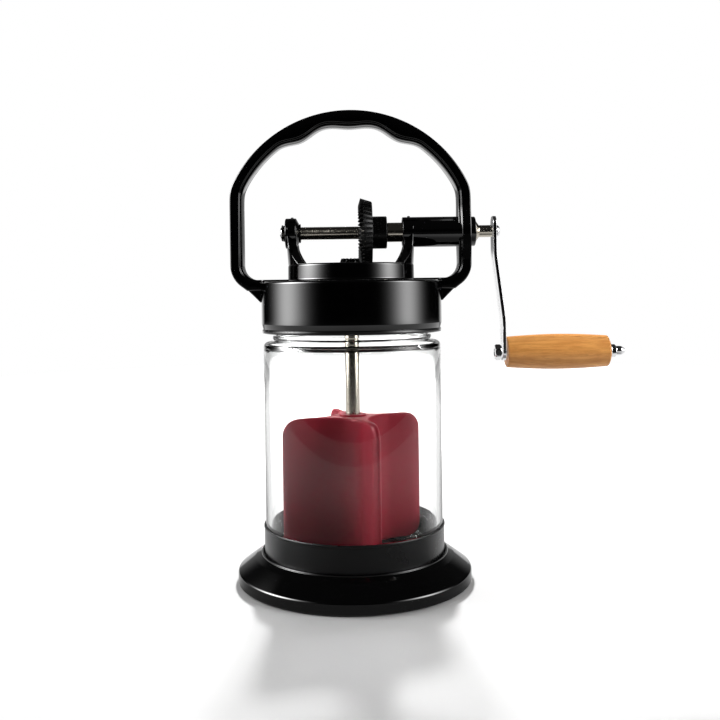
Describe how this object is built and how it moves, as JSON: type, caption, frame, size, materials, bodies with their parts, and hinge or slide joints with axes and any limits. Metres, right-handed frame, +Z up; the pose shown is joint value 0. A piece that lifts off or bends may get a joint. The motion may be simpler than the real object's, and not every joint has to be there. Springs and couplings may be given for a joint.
{
  "type": "butter churn",
  "caption": "Hand-cranked glass jar butter churn: screw lid with a carry handle, bevel gears, a wooden crank grip and a bladed paddle on a steel rod.",
  "frame": {"origin": "on the table under the jar's axis, at the middle of the foot pad", "axes": "+Z up along the jar's axis, +X towards the crank, +Y away from the viewer of the picture"},
  "size_m": [0.2438, 0.1434, 0.2875],
  "materials": {
    "foot_rubber": "matt black rubber",
    "black_gloss": "glossy black moulded plastic",
    "collar_rubber": "satin dark grey rubber",
    "jar_glass": "clear glass",
    "white_silicone": "white food silicone",
    "liner_grey": "dark grey polished plastic",
    "bearing_white": "natural white bearing plastic",
    "gear_black": "satin black gear plastic",
    "bright_steel": "turned stainless steel",
    "arm_chrome": "polished chrome plate",
    "grip_wood": "oiled straight-grained wood",
    "paddle_silicone": "satin dark red silicone"
  },
  "bodies": {
    "stand": {"foot_pad": "foot_rubber", "base": "black_gloss", "jar_collar": "collar_rubber", "jar": "jar_glass"},
    "seal": {"lid_gasket": "white_silicone"},
    "lid": {"lid_liner": "liner_grey", "lid_cap": "black_gloss", "handle_frame": "black_gloss", "frame_screw_1": "bright_steel", "frame_screw_2": "bright_steel", "frame_screw_3": "bright_steel", "frame_screw_4": "bright_steel", "left_bush": "gear_black", "tube_bush_inner": "bearing_white", "tube_bush_outer": "bearing_white", "rod_bush": "bearing_white", "bush_gasket": "white_silicone"},
    "crank": {"crank_shaft": "bright_steel", "drive_gear": "gear_black", "gear_set_screw": "bright_steel", "end_washer": "bright_steel", "end_clip": "bright_steel", "crank_arm": "arm_chrome", "arm_screw": "arm_chrome", "grip_stud": "bright_steel", "grip_nut": "arm_chrome", "grip_cap_nut": "arm_chrome"},
    "grip": {"wood_grip": "grip_wood"},
    "rod": {"paddle_rod": "bright_steel", "pinion": "gear_black", "pinion_pin": "bright_steel", "rod_washer": "bearing_white", "paddle": "paddle_silicone"}
  },
  "joints": [
    {"name": "lid_lift", "type": "slide", "parent": "stand", "child": "seal", "axis": [0, 0, 1], "range_m": [0, 0.165]},
    {"name": "lid_turn", "type": "hinge", "parent": "seal", "child": "lid", "pos_m": [0, 0, 0.18], "axis": [0, 0, 1], "range_deg": [0, 540]},
    {"name": "crank_turn", "type": "hinge", "parent": "lid", "child": "crank", "pos_m": [0, 0, 0.2125], "axis": [1, 0, 0], "continuous": true},
    {"name": "rod_spin", "type": "hinge", "parent": "lid", "child": "rod", "pos_m": [0, 0, 0.1], "axis": [0, 0, 1], "continuous": true},
    {"name": "grip_spin", "type": "hinge", "parent": "crank", "child": "grip", "pos_m": [0.12, 0, 0.1373], "axis": [1, 0, 0], "continuous": true}
  ],
  "couplings": [
    {"joint": "rod_spin", "follows": "crank_turn", "ratio": 3}
  ]
}
